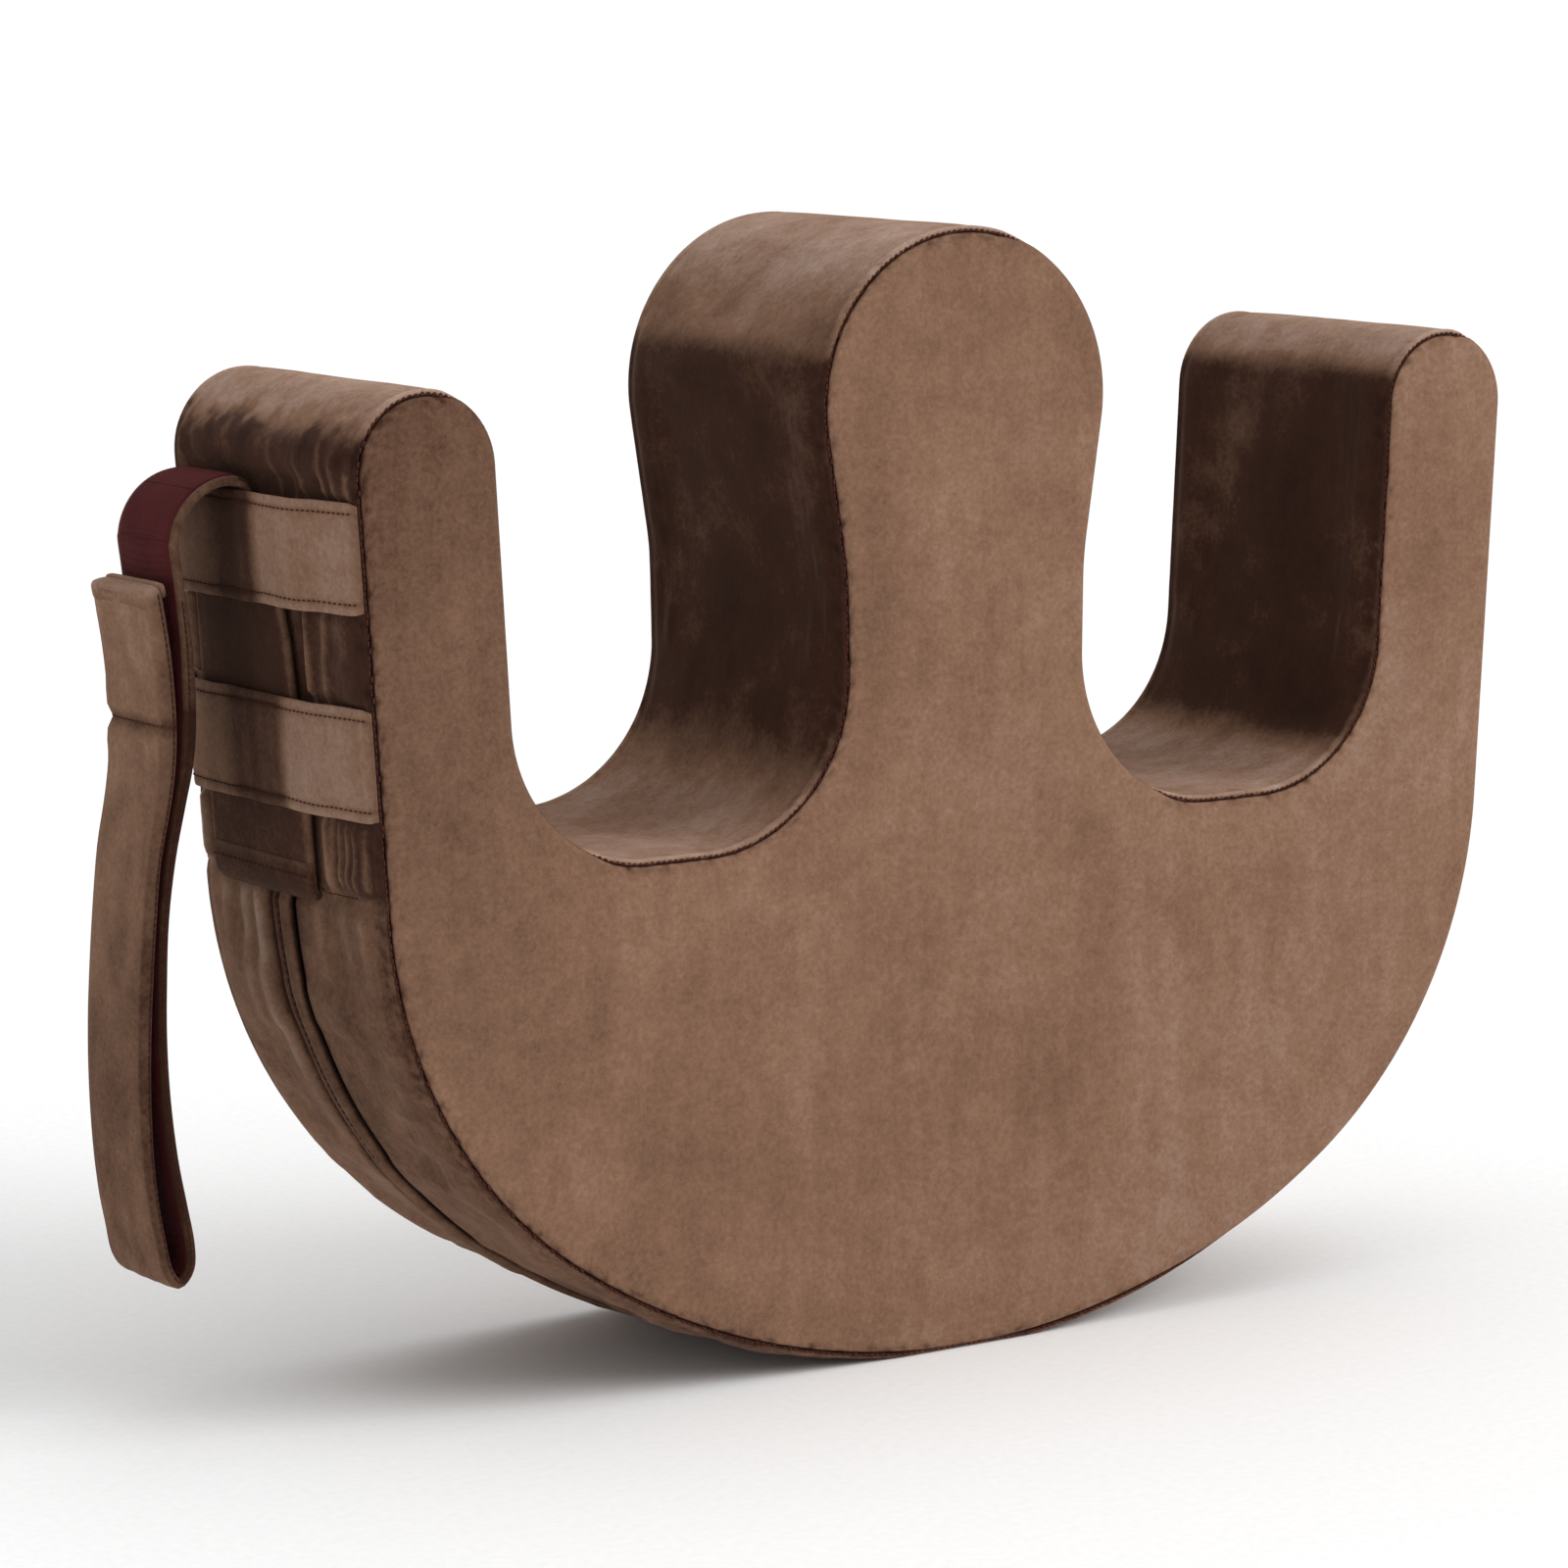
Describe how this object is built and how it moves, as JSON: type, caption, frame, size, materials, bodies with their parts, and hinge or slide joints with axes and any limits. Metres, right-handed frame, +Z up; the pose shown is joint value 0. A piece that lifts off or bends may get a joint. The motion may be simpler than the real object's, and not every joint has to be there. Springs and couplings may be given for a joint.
{
  "type": "three-prong turning cushion",
  "caption": "Three-prong foam turning cushion with a rounded rocker base, a zipped velvet cover and a padded strap handle hanging from keeper loops at one side.",
  "frame": {"origin": "centre of the bounding box in X and Y, on the surface that the cushion stands on; the bounding box includes the hanging handle", "axes": "+Z up; the broad front face looks along -Y; +X to the right, with the strap handle at the -X side"},
  "size_m": [0.6592, 0.154, 0.4892],
  "materials": {
    "foam": "open-cell foam",
    "face_velvet": "short-pile velvet, matt with a soft sheen",
    "band_velvet": "short-pile velvet, nap laid the other way",
    "keeper_velvet": "short-pile velvet with stitched edges",
    "strap_velvet": "short-pile velvet over thin padding",
    "burgundy_lining": "plain burgundy lining, matt",
    "strap_padding": "soft wadding",
    "thread": "sewing thread",
    "zip_tape": "woven tape",
    "zip_coil": "nylon coil",
    "zip_metal": "aged brass"
  },
  "bodies": {
    "cushion": {"foam_core": "foam", "front_panel": "face_velvet", "rear_panel": "face_velvet", "upper_band": "band_velvet", "lower_band_front": "band_velvet", "lower_band_rear": "band_velvet", "zip_flap": "band_velvet", "zip_end_strip": "band_velvet", "zip_tape_front": "zip_tape", "zip_tape_rear": "zip_tape", "zip_coil_front": "zip_coil", "zip_coil_rear": "zip_coil", "zip_top_stop": "zip_metal", "zip_bottom_stop": "zip_metal", "keeper_upper": "keeper_velvet", "keeper_lower": "keeper_velvet", "strap_lining": "burgundy_lining", "strap_padding": "strap_padding", "strap_velvet": "strap_velvet", "strap_end_hem": "strap_velvet"},
    "link_1": {"link_1_lining": "burgundy_lining", "link_1_velvet": "strap_velvet"},
    "link_2": {"link_2_lining": "burgundy_lining", "link_2_velvet": "strap_velvet"},
    "handle": {"handle_lining": "burgundy_lining", "handle_padding": "strap_padding", "handle_velvet": "strap_velvet", "handle_stitch_bar": "thread", "handle_end_cap": "strap_velvet"},
    "zip_slider": {"zip_slider": "zip_metal", "zip_pull_tab": "zip_metal"}
  },
  "joints": [
    {"name": "handle_flex_1", "type": "hinge", "parent": "cushion", "child": "link_1", "pos_m": [-0.27329, 0.03, 0.39226], "axis": [0, 1, 0], "range_deg": [0, 45]},
    {"name": "handle_flex_2", "type": "hinge", "parent": "link_1", "child": "link_2", "pos_m": [-0.28858, 0.03, 0.3943], "axis": [0, 1, 0], "range_deg": [0, 45]},
    {"name": "handle_swing", "type": "hinge", "parent": "link_2", "child": "handle", "pos_m": [-0.305, 0.03, 0.3828], "axis": [0, 1, 0], "range_deg": [0, 45]},
    {"name": "zip_travel", "type": "hinge", "parent": "cushion", "child": "zip_slider", "pos_m": [0.02969, 0.007, 0.35071], "axis": [0, 1, 0], "range_deg": [0, 60]}
  ],
  "couplings": [
    {"joint": "handle_flex_1", "follows": "handle_swing", "ratio": 1},
    {"joint": "handle_flex_2", "follows": "handle_swing", "ratio": 1}
  ]
}
